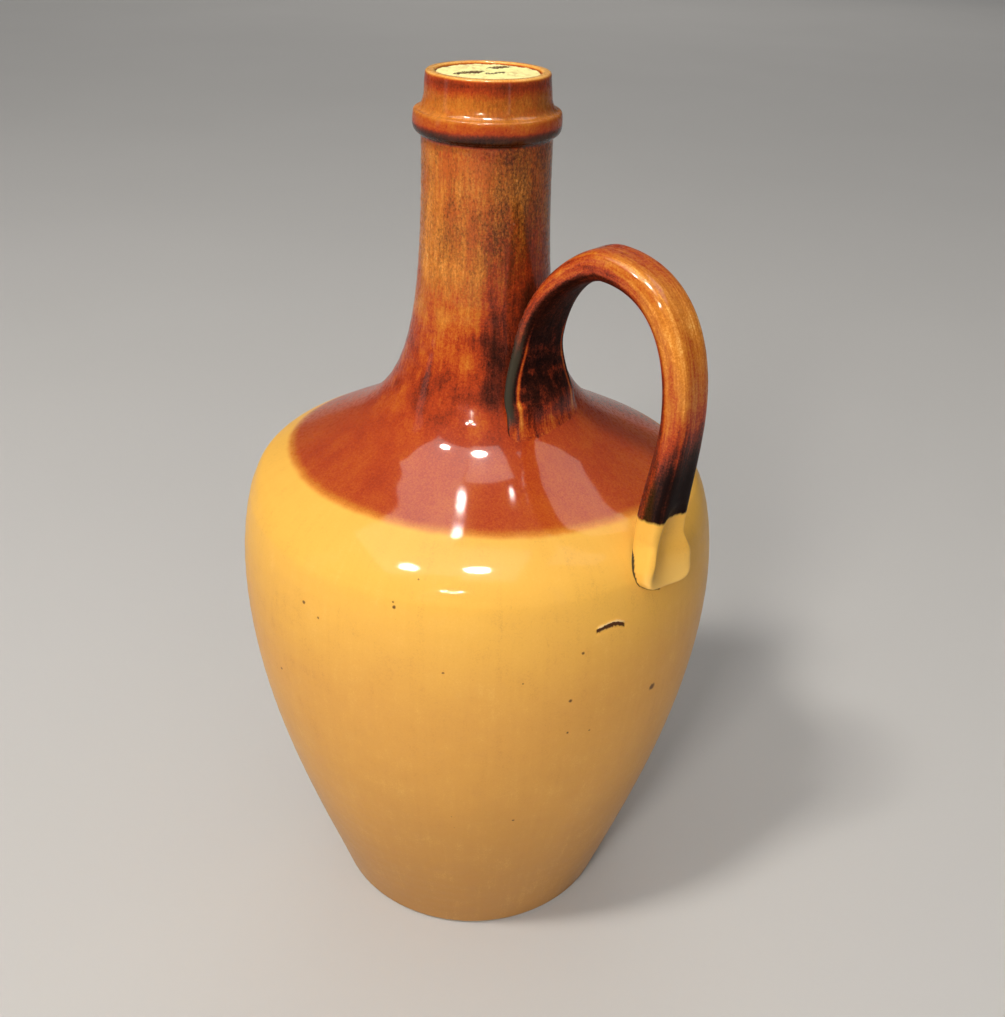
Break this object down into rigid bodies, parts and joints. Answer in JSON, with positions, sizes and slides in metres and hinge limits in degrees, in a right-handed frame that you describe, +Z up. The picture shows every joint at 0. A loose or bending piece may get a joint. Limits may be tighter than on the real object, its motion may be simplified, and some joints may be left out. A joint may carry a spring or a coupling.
{
  "type": "whiskey jug",
  "caption": "Ochre and brown glazed stoneware jug with a tall narrow neck, a collar ring, an arched strap handle and a cork that pulls out of the mouth.",
  "frame": {"origin": "centre of the flat base, on the surface that the jug stands on", "axes": "+Z up along the axis of the jug, +X from that axis towards the handle"},
  "size_m": [0.1338, 0.132, 0.24],
  "materials": {
    "ochre_glaze": "glossy clear ochre glaze with fine iron specks over stoneware, bare flat base",
    "brown_glaze": "glossy red-brown dip glaze, streaked, breaking orange on the edges and pooling nearly black",
    "cork": "dry crumbly bark cork, cracked on top"
  },
  "bodies": {
    "jug": {"lower_body": "ochre_glaze", "top_section": "brown_glaze", "handle": "brown_glaze"},
    "stopper": {"cork": "cork"}
  },
  "joints": [
    {"name": "cork_pull", "type": "slide", "parent": "jug", "child": "stopper", "axis": [0, 0, 1], "range_m": [0, 0.08]}
  ]
}
